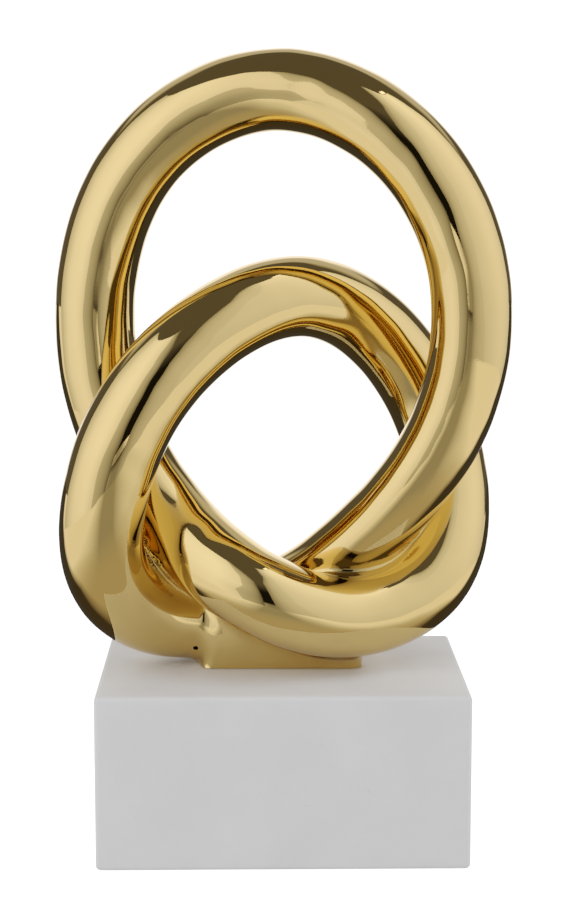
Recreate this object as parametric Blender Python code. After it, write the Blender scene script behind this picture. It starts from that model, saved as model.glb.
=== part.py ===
"""Abstract award sculpture: a polished, hollow-cast trefoil knot on a pale stone block.

Frame: metres, +Z up, origin at the centre of the felt's underside, the front towards -Y.
The knot has its foot cast on.  Two screws come up through the block from below and
hold it, each in a threaded insert bonded into the foot.  A felt sheet closes the base.
"""

import math

import bmesh
import bpy
import numpy as np
from mathutils import Matrix, Vector

MM = 0.001
GAP = 0.3 * MM                      # clearance between pieces that touch or are bonded

# Felt sheet, let into the block's underside
FELT_THICKNESS = 1.5 * MM
FELT_INSET = 5.0 * MM               # how far the felt stays inside the block's edge
FELT_CORNER_RADIUS = 4.0 * MM
FELT_RECESS = 1.2 * MM              # depth of the recess that the felt is bonded in
FELT_CLEARANCE = 0.5 * MM           # around the felt's edge

# Stone block
BLOCK_WIDTH = 138.0 * MM
BLOCK_DEPTH = 98.0 * MM
BLOCK_HEIGHT = 65.5 * MM
BLOCK_EDGE_RADIUS = 1.8 * MM
BLOCK_EDGE_STEPS = 3
SQUARE_EDGE = math.radians(60.0)    # edges that turn more than this are rounded
DECK_THICKNESS = 22.0 * MM          # stone left above the counterbores

# Knot: its centreline is drawn for this reach and rise, and stretches with them
KNOT_REACH = 71.5 * MM              # from the middle to the centreline's widest point
KNOT_RISE = 202.0 * MM              # from the centreline's base level to its highest point
STRAND_CLEARANCE = 1.5 * MM         # from the deck to a tube lying at the base level
KNOT_SET_BACK = 0.0 * MM            # of the knot's middle plane from the block's middle
TUBE_RADIUS = 15.5 * MM
STRAND_GAP = 0.6 * MM               # left between strands that pass front to back
WALL = 4.0 * MM
DRAWN_REACH = 71.5
DRAWN_RISE = 202.0

# The centreline's stations, in the order that the strand runs:
# name, across (drawn mm), height over the base level (drawn mm),
# weave (share of a strand's thickness, + is to the back), fullness of the tube.
STATIONS = (
    ("bottom_crossing_back", 0.0, 7.5, 0.38, 0.94),
    ("right_rise", 24.0, 25.5, 0.19, 0.90),
    ("right_inner", 45.0, 48.5, -0.14, 0.90),
    ("right_crossing_front", 62.0, 76.5, -0.35, 0.94),
    ("loop_right", 66.5, 144.5, -0.54, 0.98),
    ("loop_upper_right", 40.5, 185.5, -0.38, 0.99),
    ("loop_top", -4.0, 202.0, 0.03, 0.99),
    ("loop_upper_left", -46.5, 182.5, 0.25, 0.98),
    ("loop_left", -71.5, 114.5, 0.49, 0.99),
    ("left_crossing_back", -62.0, 69.5, 0.43, 1.01),
    ("bowl_left", -36.0, 33.5, -0.03, 1.02),
    ("bowl_front", -6.0, 14.0, -0.62, 1.02),
    ("bowl_low", 25.5, 4.5, -0.35, 1.01),
    ("bowl_right", 58.5, 18.0, 0.14, 1.01),
    ("right_crossing_back", 66.0, 44.0, 0.55, 1.00),
    ("crest_right", 47.5, 99.0, 0.80, 0.99),
    ("crest_top", 7.5, 125.0, 0.14, 0.99),
    ("left_shoulder", -32.5, 109.0, -0.40, 1.02),
    ("left_crossing_front", -62.5, 65.0, -0.66, 1.04),
    ("left_flank", -65.5, 22.0, -0.43, 1.02),
    ("lower_left", -47.5, 3.0, 0.13, 1.07),
)

# Foot cast onto the knot
FOOT_WIDTH = 62.0 * MM
FOOT_DEPTH = 19.0 * MM
FOOT_CORNER_RADIUS = 4.5 * MM
FOOT_SET_BACK = 2.3 * MM
FOOT_DRAFT = 2.5 * MM               # drawn in on each side at the buried top

# Vent that opens the hollow
VENT_RADIUS = 1.0 * MM
VENT_BESIDE_FOOT = 2.4 * MM
VENT_ELEVATION = math.radians(-34.0)

# Fixings
FIXING_SPACING = 36.0 * MM
SCREW_RADIUS = 3.0 * MM
SCREW_ENGAGEMENT = 8.0 * MM
SCREW_HEAD_OVERHANG = 2.0 * MM      # of the head beyond the shank
SCREW_HEAD_HEIGHT = 6.0 * MM
SCREW_CHAMFER = 0.8 * MM            # at the tip
HEX_SIDES = 6
HEX_ACROSS_FLATS = 5.0 * MM
HEX_DEPTH = 3.0 * MM
SCREW_CLEARANCE = 0.4 * MM          # around the shank in the block and the washers
INSERT_WALL = 1.2 * MM
INSERT_LENGTH = 9.5 * MM
INSERT_GROOVE_DEPTH = 0.5 * MM
INSERT_BANDS = 5                    # lands and grooves in turn, a land at each end
WASHER_WIDTH = 4.6 * MM             # from its hole to its rim
WASHER_THICKNESS = 1.6 * MM
LOCK_WASHER_WIDTH = 2.2 * MM
LOCK_WASHER_THICKNESS = 1.5 * MM
LOCK_WASHER_SLIT = 1.0 * MM
COUNTERBORE_CLEARANCE = 1.0 * MM    # around the washer

# Facets
TUBE_POINTS = 130
TUBE_SIDES = 20
CORE_POINTS = 88
CORE_SIDES = 14
ROUND_SEGMENTS = 32
SMALL_SEGMENTS = 20
SMOOTH_ANGLE = math.radians(40.0)
MERGE_DISTANCE = 0.01 * MM

# Levels and places that follow from the sizes
BLOCK_BOTTOM = FELT_THICKNESS + GAP - FELT_RECESS
DECK = BLOCK_BOTTOM + BLOCK_HEIGHT
FOOT_BOTTOM = DECK + GAP
COUNTERBORE_TOP = DECK - DECK_THICKNESS
INSERT_BOTTOM = FOOT_BOTTOM + GAP
POCKET_TOP = INSERT_BOTTOM + INSERT_LENGTH + GAP
WASHER_BOTTOM = COUNTERBORE_TOP - GAP - WASHER_THICKNESS
LOCK_WASHER_BOTTOM = WASHER_BOTTOM - GAP - LOCK_WASHER_THICKNESS
HEAD_TOP = LOCK_WASHER_BOTTOM - GAP
SCREW_TIP = INSERT_BOTTOM + SCREW_ENGAGEMENT
HOLE_RADIUS = SCREW_RADIUS + SCREW_CLEARANCE
SCREW_HEAD_RADIUS = SCREW_RADIUS + SCREW_HEAD_OVERHANG
INSERT_BORE_RADIUS = SCREW_RADIUS + GAP
INSERT_RADIUS = INSERT_BORE_RADIUS + INSERT_WALL
WASHER_RADIUS = HOLE_RADIUS + WASHER_WIDTH
LOCK_WASHER_RADIUS = HOLE_RADIUS + LOCK_WASHER_WIDTH
STRAND_PITCH = 2.0 * TUBE_RADIUS + STRAND_GAP
BASE_LEVEL = DECK + STRAND_CLEARANCE + TUBE_RADIUS
SIDES = (("left", -1.0), ("right", 1.0))
OVERCUT = 1.0 * MM


def clear_scene():
    """Remove every object, so that the script starts from nothing."""
    for thing in list(bpy.data.objects):
        bpy.data.objects.remove(thing, do_unlink=True)


def material(name, color, roughness, metallic):
    """A plain surface of one colour."""
    made = bpy.data.materials.new(name)
    made.use_nodes = True
    shader = made.node_tree.nodes["Principled BSDF"]
    shader.inputs["Base Color"].default_value = (*color, 1.0)
    shader.inputs["Roughness"].default_value = roughness
    shader.inputs["Metallic"].default_value = metallic
    return made


def gold_plate():
    return material("gold_plate", (0.83, 0.60, 0.24), 0.05, 1.0)


def pale_stone():
    return material("pale_stone", (0.62, 0.62, 0.63), 0.75, 0.0)


def yellow_brass():
    return material("yellow_brass", (0.72, 0.55, 0.25), 0.3, 1.0)


def zinc_steel():
    return material("zinc_steel", (0.60, 0.61, 0.62), 0.32, 1.0)


def grey_felt():
    return material("grey_felt", (0.09, 0.09, 0.10), 0.95, 0.0)


def add_object(name, mesh, surface=None):
    """Put a mesh into the scene, shaded smooth except at its sharp edges."""
    mesh.shade_smooth()
    mesh.set_sharp_from_angle(angle=SMOOTH_ANGLE)
    thing = bpy.data.objects.new(name, mesh)
    bpy.context.collection.objects.link(thing)
    if surface is not None:
        mesh.materials.append(surface)
    return thing


def guide(name, mesh):
    """A shape that only cuts or joins another one."""
    thing = add_object(name, mesh)
    thing.hide_render = True
    thing.display_type = "WIRE"
    return thing


def boolean(target, tool, operation, crosses_itself=False):
    """Cut or join one object with another."""
    change = target.modifiers.new(tool.name, "BOOLEAN")
    change.operation = operation
    change.solver = "EXACT"
    change.use_self = crosses_itself
    change.object = tool


def prism(name, outline, bottom, top, draft=0.0):
    """An outline extruded from bottom to top; draft draws the top in."""
    mesh = bpy.data.meshes.new(name)
    form = bmesh.new()
    ring = [form.verts.new((x, y, bottom)) for x, y in outline]
    face = form.faces.new(ring)
    raised = bmesh.ops.extrude_face_region(form, geom=[face])["geom"]
    upper = [v for v in raised if isinstance(v, bmesh.types.BMVert)]
    bmesh.ops.translate(form, verts=upper, vec=(0.0, 0.0, top - bottom))
    middle = sum((v.co for v in upper), Vector()) / len(upper)
    half = max((v.co.xy - middle.xy).length for v in upper)
    for vert in upper:
        inward = middle.xy - vert.co.xy
        vert.co.xy += inward.normalized() * draft * inward.length / half
    bmesh.ops.recalc_face_normals(form, faces=form.faces)
    form.to_mesh(mesh)
    form.free()
    return mesh


def circle(radius, segments, center=(0.0, 0.0)):
    """Points of a circle, counterclockwise."""
    angles = [math.tau * i / segments for i in range(segments)]
    return [(center[0] + radius * math.cos(a), center[1] + radius * math.sin(a))
            for a in angles]


def rounded_rectangle(width, depth, radius, center=(0.0, 0.0), steps=5):
    """Points of a rectangle with round corners, counterclockwise."""
    points = []
    for quarter, (sx, sy) in enumerate(((1, 1), (-1, 1), (-1, -1), (1, -1))):
        cx = center[0] + sx * (width / 2.0 - radius)
        cy = center[1] + sy * (depth / 2.0 - radius)
        for step in range(steps + 1):
            angle = math.radians(90.0) * (quarter + step / steps)
            points.append((cx + radius * math.cos(angle), cy + radius * math.sin(angle)))
    return points


def turned(name, profile, center, segments):
    """A ring or a disc: a closed profile of (radius, height) spun about a vertical axis."""
    mesh = bpy.data.meshes.new(name)
    form = bmesh.new()
    verts = [form.verts.new((r, 0.0, z)) for r, z in profile]
    edges = [form.edges.new((verts[i - 1], verts[i])) for i in range(len(verts))
             if profile[i - 1][0] > 0.0 or profile[i][0] > 0.0]
    bmesh.ops.spin(form, geom=verts + edges, cent=(0.0, 0.0, 0.0), axis=(0.0, 0.0, 1.0),
                   angle=math.tau, steps=segments, use_merge=True, use_duplicate=False)
    bmesh.ops.remove_doubles(form, verts=form.verts, dist=MERGE_DISTANCE)
    bmesh.ops.recalc_face_normals(form, faces=form.faces)
    form.to_mesh(mesh)
    form.free()
    mesh.transform(Matrix.Translation((center[0], center[1], 0.0)))
    return mesh


def station_points():
    """The stations as rows of x, y, z and tube radius, in metres."""
    rows = []
    for _name, across, height, weave, fullness in STATIONS:
        rows.append((across / DRAWN_REACH * KNOT_REACH,
                     KNOT_SET_BACK + weave * STRAND_PITCH,
                     BASE_LEVEL + height / DRAWN_RISE * KNOT_RISE,
                     fullness * TUBE_RADIUS))
    return np.array(rows)


def closed_spline(points, count):
    """A closed cubic through the points, smooth to its curvature, read at even steps.

    Each span is a cubic over its own chord length.  The slopes at the stations come
    from asking that neighbouring spans bend alike where they meet.
    """
    following = np.roll(points, -1, axis=0)
    chord = np.linalg.norm((following - points)[:, :3], axis=1)
    total = len(points)
    balance = np.zeros((total, total))
    pull = np.zeros_like(points)
    for i in range(total):
        before, after = chord[i - 1], chord[i]
        balance[i, i - 1] += 1.0 / before
        balance[i, i] += 2.0 * (1.0 / before + 1.0 / after)
        balance[i, (i + 1) % total] += 1.0 / after
        pull[i] = 3.0 * ((points[i] - points[i - 1]) / before ** 2
                         + (following[i] - points[i]) / after ** 2)
    slope = np.linalg.solve(balance, pull)
    starts = np.concatenate(([0.0], np.cumsum(chord)))
    reads = np.arange(count) / count * starts[-1]
    span = np.searchsorted(starts, reads, side="right") - 1
    t = ((reads - starts[span]) / chord[span])[:, None]
    width = chord[span][:, None]
    return ((2 * t ** 3 - 3 * t ** 2 + 1) * points[span]
            + (t ** 3 - 2 * t ** 2 + t) * width * slope[span]
            + (3 * t ** 2 - 2 * t ** 3) * following[span]
            + (t ** 3 - t ** 2) * width * slope[(span + 1) % total])


def closed_tube(name, rows, sides):
    """A tube along a closed line; each row holds a point and the radius there."""
    line = bpy.data.curves.new(name + "_line", "CURVE")
    line.dimensions = "3D"
    line.twist_mode = "MINIMUM"
    line.bevel_depth = TUBE_RADIUS
    line.bevel_resolution = (sides - 4) // 2
    spline = line.splines.new("POLY")
    spline.points.add(len(rows) - 1)
    for point, (x, y, z, radius) in zip(spline.points, rows):
        point.co = (x, y, z, 1.0)
        point.radius = radius / TUBE_RADIUS
    spline.use_cyclic_u = True
    holder = bpy.data.objects.new(name + "_line", line)
    mesh = bpy.data.meshes.new_from_object(holder)
    mesh.name = name
    bpy.data.objects.remove(holder, do_unlink=True)
    form = bmesh.new()
    form.from_mesh(mesh)
    bmesh.ops.recalc_face_normals(form, faces=form.faces)
    form.to_mesh(mesh)
    form.free()
    return mesh


def foot_mesh(stations):
    """The foot: from the deck up to the middle of the lower of the strands it joins."""
    by_name = {row[0]: place for row, place in zip(STATIONS, stations)}
    top = min(by_name["bottom_crossing_back"][2], by_name["bowl_front"][2])
    outline = rounded_rectangle(FOOT_WIDTH, FOOT_DEPTH, FOOT_CORNER_RADIUS,
                                (0.0, KNOT_SET_BACK + FOOT_SET_BACK))
    return prism("foot", outline, FOOT_BOTTOM, top, FOOT_DRAFT)


def vent_mesh(line):
    """A short drill, from outside the low left strand into its hollow."""
    across = -FOOT_WIDTH / 2.0 - VENT_BESIDE_FOOT
    low = line[:, 2] < BASE_LEVEL + STRAND_PITCH
    behind = line[low & (line[:, 1] > KNOT_SET_BACK)]
    middle = behind[np.argmin(abs(behind[:, 0] - across))]
    outward = Vector((0.0, -math.cos(VENT_ELEVATION), math.sin(VENT_ELEVATION)))
    inner = middle[3] - WALL - OVERCUT
    length = WALL + 2.0 * OVERCUT
    drill = prism("vent", circle(VENT_RADIUS, SMALL_SEGMENTS), 0.0, length)
    turn = outward.to_track_quat("Z", "Y").to_matrix().to_4x4()
    start = Vector(middle[:3]) + outward * inner
    drill.transform(Matrix.Translation(start) @ turn)
    return drill


def knot():
    """The casting: strand and foot in one, hollow, with two pockets and a vent."""
    stations = station_points()
    line = closed_spline(stations, TUBE_POINTS)
    casting = add_object("knot_casting", closed_tube("knot_casting", line, TUBE_SIDES),
                         gold_plate())
    boolean(casting, guide("foot_block", foot_mesh(stations)), "UNION", True)
    core = closed_spline(stations, CORE_POINTS)
    core[:, 3] -= WALL
    boolean(casting, guide("hollow", closed_tube("hollow", core, CORE_SIDES)),
            "DIFFERENCE", True)
    boolean(casting, guide("vent_drill", vent_mesh(line)), "DIFFERENCE")
    for side, sign in SIDES:
        outline = circle(INSERT_RADIUS + GAP, SMALL_SEGMENTS, fixing_place(sign))
        pocket = prism("pocket_" + side, outline, FOOT_BOTTOM - OVERCUT, POCKET_TOP)
        boolean(casting, guide("pocket_" + side, pocket), "DIFFERENCE")


def fixing_place(sign):
    """Where a fixing stands, in plan."""
    return (sign * FIXING_SPACING / 2.0, KNOT_SET_BACK + FOOT_SET_BACK)


def block():
    """The stone block, with a counterbored hole for each fixing."""
    side, front = BLOCK_WIDTH / 2.0, BLOCK_DEPTH / 2.0
    corners = [(-side, -front), (side, -front), (side, front), (-side, front)]
    stone = add_object("stone_block", prism("stone_block", corners, BLOCK_BOTTOM, DECK),
                       pale_stone())
    soften = stone.modifiers.new("edges", "BEVEL")
    soften.width = BLOCK_EDGE_RADIUS
    soften.segments = BLOCK_EDGE_STEPS
    soften.limit_method = "ANGLE"
    soften.angle_limit = SQUARE_EDGE
    recess = prism("felt_recess", felt_outline(FELT_CLEARANCE),
                   BLOCK_BOTTOM - OVERCUT, BLOCK_BOTTOM + FELT_RECESS)
    boolean(stone, guide("felt_recess", recess), "DIFFERENCE")
    for side, sign in SIDES:
        place = fixing_place(sign)
        hole = prism("screw_hole", circle(HOLE_RADIUS, SMALL_SEGMENTS, place),
                     COUNTERBORE_TOP - OVERCUT, DECK + OVERCUT)
        boolean(stone, guide("screw_hole_" + side, hole), "DIFFERENCE")
        bore = prism("counterbore", circle(WASHER_RADIUS + COUNTERBORE_CLEARANCE,
                                           ROUND_SEGMENTS, place),
                     BLOCK_BOTTOM - OVERCUT, COUNTERBORE_TOP)
        boolean(stone, guide("counterbore_" + side, bore), "DIFFERENCE")


def insert(side, sign):
    """A threaded insert with two grooves that its bonding fills."""
    outer, inner = INSERT_RADIUS, INSERT_BORE_RADIUS
    waist = outer - INSERT_GROOVE_DEPTH
    band = INSERT_LENGTH / INSERT_BANDS
    profile = [(inner, INSERT_BOTTOM), (outer, INSERT_BOTTOM)]
    for groove in range(1, INSERT_BANDS, 2):
        low = INSERT_BOTTOM + groove * band
        high = low + band
        profile += [(outer, low), (waist, low), (waist, high), (outer, high)]
    profile += [(outer, INSERT_BOTTOM + INSERT_LENGTH), (inner, INSERT_BOTTOM + INSERT_LENGTH)]
    mesh = turned("insert", profile, fixing_place(sign), SMALL_SEGMENTS)
    add_object("threaded_insert_" + side, mesh, yellow_brass())


def screw(side, sign):
    """A socket-head screw, head down in its counterbore."""
    bottom = HEAD_TOP - SCREW_HEAD_HEIGHT
    profile = [(0.0, bottom), (SCREW_HEAD_RADIUS, bottom), (SCREW_HEAD_RADIUS, HEAD_TOP),
               (SCREW_RADIUS, HEAD_TOP), (SCREW_RADIUS, SCREW_TIP - SCREW_CHAMFER),
               (SCREW_RADIUS - SCREW_CHAMFER, SCREW_TIP), (0.0, SCREW_TIP)]
    place = fixing_place(sign)
    made = add_object("socket_screw_" + side, turned("screw", profile, place,
                                                     SMALL_SEGMENTS), zinc_steel())
    across_corners = HEX_ACROSS_FLATS / math.cos(math.pi / HEX_SIDES)
    hexagon = prism("hex", circle(across_corners / 2.0, HEX_SIDES, place),
                    bottom - OVERCUT, bottom + HEX_DEPTH)
    boolean(made, guide("hex_" + side, hexagon), "DIFFERENCE")


def washer(side, sign):
    """A plain washer that spreads the screw's load on the stone."""
    profile = [(HOLE_RADIUS, WASHER_BOTTOM), (WASHER_RADIUS, WASHER_BOTTOM),
               (WASHER_RADIUS, WASHER_BOTTOM + WASHER_THICKNESS),
               (HOLE_RADIUS, WASHER_BOTTOM + WASHER_THICKNESS)]
    mesh = turned("washer", profile, fixing_place(sign), ROUND_SEGMENTS)
    add_object("plain_washer_" + side, mesh, zinc_steel())


def lock_washer(side, sign):
    """A split ring between the screw's head and the plain washer."""
    place = fixing_place(sign)
    top = LOCK_WASHER_BOTTOM + LOCK_WASHER_THICKNESS
    profile = [(HOLE_RADIUS, LOCK_WASHER_BOTTOM), (LOCK_WASHER_RADIUS, LOCK_WASHER_BOTTOM),
               (LOCK_WASHER_RADIUS, top), (HOLE_RADIUS, top)]
    ring = add_object("lock_washer_" + side,
                      turned("lock_washer", profile, place, ROUND_SEGMENTS), zinc_steel())
    reach = LOCK_WASHER_RADIUS + OVERCUT
    outline = [(place[0], place[1] - LOCK_WASHER_SLIT / 2.0),
               (place[0] + reach, place[1] - LOCK_WASHER_SLIT / 2.0),
               (place[0] + reach, place[1] + LOCK_WASHER_SLIT / 2.0),
               (place[0], place[1] + LOCK_WASHER_SLIT / 2.0)]
    slit = prism("slit", outline, LOCK_WASHER_BOTTOM - OVERCUT, top + OVERCUT)
    boolean(ring, guide("slit_" + side, slit), "DIFFERENCE")


def felt_outline(spread):
    """The felt's outline, spread outwards all round."""
    return rounded_rectangle(BLOCK_WIDTH - 2.0 * (FELT_INSET - spread),
                             BLOCK_DEPTH - 2.0 * (FELT_INSET - spread),
                             FELT_CORNER_RADIUS + spread)


def felt():
    """The sheet that the award stands on; it also covers the counterbores."""
    add_object("felt_sheet", prism("felt_sheet", felt_outline(0.0), 0.0, FELT_THICKNESS),
               grey_felt())


def main():
    clear_scene()
    felt()
    block()
    knot()
    for side, sign in SIDES:
        insert(side, sign)
        screw(side, sign)
        washer(side, sign)
        lock_washer(side, sign)


main()
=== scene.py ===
# %% [markdown]
# # A polished knot on a pale block
# The real award is one hollow metal casting, a tube that closes on itself in a trefoil
# knot, plated and polished like a mirror.  Its small foot stands on a matte stone block.
# A mirror has no colour of its own to paint: what we see is the room, bent by the
# curve of the surface.  So two things decide this picture, how smooth the curve is,
# and what stands around the object.  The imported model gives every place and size.

import math

import bmesh
import bpy
import numpy as np
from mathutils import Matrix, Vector


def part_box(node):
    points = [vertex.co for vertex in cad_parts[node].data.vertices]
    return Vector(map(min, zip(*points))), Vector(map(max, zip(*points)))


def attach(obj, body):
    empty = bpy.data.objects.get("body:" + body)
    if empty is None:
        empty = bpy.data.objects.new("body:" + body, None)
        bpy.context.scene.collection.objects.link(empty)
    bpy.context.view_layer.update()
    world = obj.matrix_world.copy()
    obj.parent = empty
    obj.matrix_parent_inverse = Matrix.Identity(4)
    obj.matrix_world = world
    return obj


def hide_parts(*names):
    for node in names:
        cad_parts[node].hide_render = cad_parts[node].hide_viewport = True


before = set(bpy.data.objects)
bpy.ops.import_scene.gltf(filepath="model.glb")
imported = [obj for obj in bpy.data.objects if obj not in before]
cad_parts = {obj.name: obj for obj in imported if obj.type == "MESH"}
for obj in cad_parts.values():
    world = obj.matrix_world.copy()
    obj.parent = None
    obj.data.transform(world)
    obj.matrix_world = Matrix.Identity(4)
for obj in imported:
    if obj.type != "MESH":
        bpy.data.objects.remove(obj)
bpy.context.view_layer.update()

MM = 0.001
KNOT_LOW, KNOT_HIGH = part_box("knot_casting")
BLOCK_LOW, BLOCK_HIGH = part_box("stone_block")
DECK = BLOCK_HIGH.z
print("block top at %.1f mm, award %.1f mm high" % (DECK / MM, KNOT_HIGH.z / MM))

# %% [markdown]
# ## Camera
# A longish lens from well back keeps the award from being stretched.  The camera looks
# from a little above the knot's middle, tilted down by eight degrees, which shows the
# block's top as a thin band.

# %% Camera
CAMERA_PLACE = (-10.3 * MM, -777.0 * MM, DECK + 194.0 * MM)
CAMERA_TURN = math.radians(0.9)         # to the right
CAMERA_TILT = math.radians(8.1)         # downwards
CAMERA_LENS = 82.2                      # mm
FILM_WIDTH = 36.0                       # mm


def make_camera():
    """The camera looks along a line given by how far it turns right and tilts down."""
    lens = bpy.data.cameras.new("camera")
    lens.lens = CAMERA_LENS
    lens.sensor_width = FILM_WIDTH
    lens.clip_start = 0.01
    lens.clip_end = 50.0
    camera = bpy.data.objects.new("camera", lens)
    bpy.context.collection.objects.link(camera)
    ahead = Vector((math.sin(CAMERA_TURN) * math.cos(CAMERA_TILT),
                    math.cos(CAMERA_TURN) * math.cos(CAMERA_TILT),
                    -math.sin(CAMERA_TILT)))
    camera.location = CAMERA_PLACE
    camera.rotation_euler = ahead.to_track_quat("-Z", "Y").to_euler()
    bpy.context.scene.camera = camera
    return camera


camera = make_camera()

# %% [markdown]
# ## The strand's centreline
# The tube follows a closed line through stations: up the right side, over the large
# loop, down behind the left strand, round the front bowl, up behind the right strand,
# over the small crest and down the left.  Each station says how far across it is, how
# high over the base level, how far back, and how thick the tube is there.  A fit to the
# award's outline gave most of their places, which were then rounded, and a few were
# moved.  Bezier handles could join them, but a mirror shows every change of
# bend, so the line is a closed cubic spline, whose bend is even where two spans meet.

# %% Centreline
TUBE_RADIUS = 15.5 * MM
STRAND_PITCH = 31.6 * MM                # a tube's thickness and the gap to the next
BASE_LEVEL = DECK + 17.0 * MM           # where the centre of a tube just off the deck is
STATIONS = np.array((                   # across mm, height mm, weave share, fullness
    (0.0, 7.5, 0.38, 0.94), (24.0, 25.5, 0.19, 0.90), (45.0, 48.5, -0.14, 0.90),
    (62.0, 76.5, -0.35, 0.94), (66.5, 144.5, -0.54, 0.98), (40.5, 185.5, -0.38, 0.99),
    (-4.0, 202.0, 0.03, 0.99), (-46.5, 182.5, 0.25, 0.98), (-71.5, 114.5, 0.49, 0.99),
    (-62.0, 69.5, 0.43, 1.01), (-36.0, 33.5, -0.03, 1.02), (-6.0, 14.0, -0.62, 1.02),
    (25.5, 4.5, -0.35, 1.01), (58.5, 18.0, 0.14, 1.01), (66.0, 44.0, 0.55, 1.00),
    (47.5, 99.0, 0.80, 0.99), (7.5, 125.0, 0.14, 0.99), (-32.5, 109.0, -0.40, 1.02),
    (-62.5, 65.0, -0.66, 1.04), (-65.5, 22.0, -0.43, 1.02), (-47.5, 3.0, 0.13, 1.07)))
LINE_COUNT = 640


def station_points():
    """Rows of x, y, z and tube radius, in metres."""
    across, height, weave, fullness = STATIONS.T
    return np.stack((across * MM, weave * STRAND_PITCH, BASE_LEVEL + height * MM,
                     fullness * TUBE_RADIUS), axis=1)


def closed_spline(points, count):
    """A closed cubic through the points, read at even steps of its chord length.

    The slopes at the stations come from one set of equations, which says that the
    spans on both sides of a station bend alike there.  Each span is then a cubic of
    its two end points and slopes.
    """
    after = np.linalg.norm((np.roll(points, -1, axis=0) - points)[:, :3], axis=1)
    before = np.roll(after, 1)
    here = np.arange(len(points))
    balance = np.zeros((len(points), len(points)))
    balance[here, here - 1] = 1.0 / before
    balance[here, here] = 2.0 / before + 2.0 / after
    balance[here, (here + 1) % len(points)] = 1.0 / after
    rise_before = (points - np.roll(points, 1, axis=0)) / before[:, None] ** 2
    rise_after = (np.roll(points, -1, axis=0) - points) / after[:, None] ** 2
    slope = np.linalg.solve(balance, 3.0 * (rise_before + rise_after))
    starts = np.concatenate(([0.0], np.cumsum(after)))
    reads = np.arange(count) / count * starts[-1]
    span = np.searchsorted(starts, reads, side="right") - 1
    following = (span + 1) % len(points)
    t = ((reads - starts[span]) / after[span])[:, None]
    width = after[span][:, None]
    return ((2 * t ** 3 - 3 * t ** 2 + 1) * points[span]
            + (t ** 3 - 2 * t ** 2 + t) * width * slope[span]
            + (3 * t ** 2 - 2 * t ** 3) * points[following]
            + (t ** 3 - t ** 2) * width * slope[following])


line = closed_spline(station_points(), LINE_COUNT)
steps = np.linalg.norm(np.diff(line[:, :3], axis=0, append=line[:1, :3]), axis=1)
LINE_LENGTH = steps.sum()
print("strand %.0f mm long, %.1f to %.1f mm thick" % (
    LINE_LENGTH / MM, 2 * line[:, 3].min() / MM, 2 * line[:, 3].max() / MM))

# %% [markdown]
# ## A rough skin
# First the tube is swept: at each point of the line a circle stands square to it, and
# neighbouring circles are joined into four-sided faces.  The foot is a second simple
# body.  They run through each other at the bottom, where the metal is one piece, so a
# voxel remesh melts them into a single closed skin of even small faces.

# %% Rough skin
SWEEP_SIDES = 48
SWEEP_COUNT = 320
FOOT_CENTER = (0.0, 2.3 * MM)
FOOT_HALF = (31.0 * MM, 9.5 * MM)
FOOT_CORNER = 4.5 * MM
FOOT_TOP = DECK + 24.5 * MM
FOOT_ENDS_LEAN = 5.0 * MM               # how far the foot's ends lean in on their way up
FOOT_FRONT_LEAN = 3.5 * MM              # how far its front leans out, to meet the bowl
FOOT_BACK_LEAN = 3.0 * MM               # how far its back leans in
FOOT_TURN = 18.0 * MM                   # the front turns from leaning in to leaning out
FOOT_BURIED = 6.0 * MM                  # below the deck for now; cut off later
VOXEL = 1.25 * MM


def mesh_object(name, points, faces):
    """A new object with its place in its mesh, so that it stands at the origin."""
    mesh = bpy.data.meshes.new(name)
    mesh.from_pydata(points.tolist(), [], faces)
    mesh.update()
    made = bpy.data.objects.new(name, mesh)
    bpy.context.collection.objects.link(made)
    return made


def ring_faces(rings, sides, closed=True):
    """Four-sided faces between neighbouring rings of a grid of points."""
    i, j = np.meshgrid(np.arange(rings if closed else rings - 1), np.arange(sides),
                       indexing="ij")
    i, j = i.ravel(), j.ravel()
    ni, nj = (i + 1) % rings, (j + 1) % sides
    return np.stack((i * sides + j, i * sides + nj, ni * sides + nj, ni * sides + j),
                    axis=1).tolist()


def swept_tube(name, rows, sides):
    """Each circle is centre + radius * (cos a * side + sin a * up).

    The front-to-back direction is never along the line, so up = line x back, and
    side = line x up is square to both.
    """
    center, radius = rows[:, :3], rows[:, 3]
    along = np.roll(center, -1, axis=0) - np.roll(center, 1, axis=0)
    along /= np.linalg.norm(along, axis=1)[:, None]
    up = np.cross(along, (0.0, 1.0, 0.0))
    up /= np.linalg.norm(up, axis=1)[:, None]
    side = np.cross(along, up)
    angle = np.arange(sides) / sides * math.tau
    turn = (np.cos(angle)[None, :, None] * side[:, None, :]
            + np.sin(angle)[None, :, None] * up[:, None, :])
    points = center[:, None, :] + radius[:, None, None] * turn
    return mesh_object(name, points.reshape(-1, 3), ring_faces(len(rows), sides))


def upright_body(name, ring, low, high, top_ring=None):
    """An outline stood up from one height to another, closed at both ends."""
    top_ring = ring if top_ring is None else top_ring
    count = len(ring)
    points = np.concatenate((np.column_stack((ring, np.full(count, low))),
                             np.column_stack((top_ring, np.full(count, high)))))
    faces = ring_faces(2, count, closed=False)
    faces += [list(range(count - 1, -1, -1)), list(range(count, 2 * count))]
    return mesh_object(name, points, faces)


def rounded_outline(half, corner, count=32):
    """Corner centres pushed out by the corner radius, at even steps of the angle."""
    angle = (np.arange(count) + 0.5) / count * math.tau
    turn = np.stack((np.cos(angle), np.sin(angle)), axis=1)
    return np.sign(turn) * (np.array(half) - corner) + corner * turn


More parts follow.
